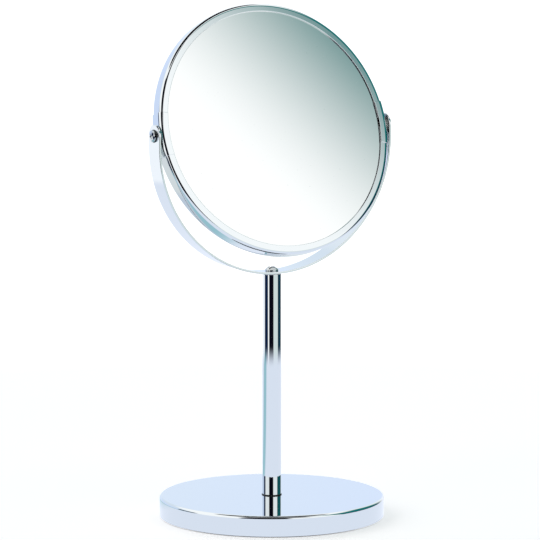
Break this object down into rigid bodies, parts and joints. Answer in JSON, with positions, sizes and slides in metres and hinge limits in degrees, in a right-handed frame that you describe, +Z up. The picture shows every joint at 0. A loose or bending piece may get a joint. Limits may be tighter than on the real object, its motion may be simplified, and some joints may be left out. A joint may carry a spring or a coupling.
{
  "type": "standing makeup mirror",
  "caption": "Round two-sided makeup mirror that tips over in a U-shaped yoke, on a slim post over a heavy round foot, polished chrome.",
  "frame": {"origin": "centre of the foot's underside, on the surface that the mirror stands on", "axes": "+Z up along the post; the pivot axis of the head lies along X; the plain mirror faces -Y and leans back by 18.4 degrees; +X is to the right of a person who looks into it"},
  "size_m": [0.1832, 0.152, 0.3456],
  "materials": {
    "chrome": "polished chrome plate",
    "screw_chrome": "chrome-plated screw heads",
    "silvered_glass": "silvered float glass",
    "steel": "zinc-plated steel",
    "black_plastic": "moulded black plastic",
    "white_plastic": "natural nylon",
    "foam_rubber": "closed-cell foam",
    "card": "plain grey-brown card"
  },
  "bodies": {
    "base": {"base_shell": "chrome", "base_ballast": "steel", "base_cover": "black_plastic", "base_pad": "foam_rubber", "base_bolt_washer": "steel", "base_bolt": "steel", "post_ring": "black_plastic", "post_tube": "chrome", "post_bottom_plug": "steel", "post_top_plug": "steel", "yoke_seat_washer": "white_plastic", "yoke_screw": "screw_chrome"},
    "yoke": {"yoke": "chrome", "pivot_inner_washer_left": "white_plastic", "pivot_inner_washer_right": "white_plastic", "pivot_outer_washer_left": "black_plastic", "pivot_outer_washer_right": "black_plastic"},
    "head": {"rim_upper": "chrome", "rim_lower": "chrome", "sleeve_left": "chrome", "sleeve_right": "chrome", "plain_mirror": "silvered_glass", "magnifying_mirror": "silvered_glass", "mirror_backing": "card", "edge_spacer": "foam_rubber", "pivot_nut_left": "steel", "pivot_nut_right": "steel", "pivot_screw_left": "screw_chrome", "pivot_screw_right": "screw_chrome"}
  },
  "joints": [
    {"name": "yoke_swivel", "type": "hinge", "parent": "base", "child": "yoke", "pos_m": [0, 0, 0.26245], "axis": [0, 0, 1], "continuous": true},
    {"name": "head_tilt", "type": "hinge", "parent": "yoke", "child": "head", "pos_m": [0, 0, 0.26245], "axis": [1, 0, 0], "continuous": true}
  ]
}
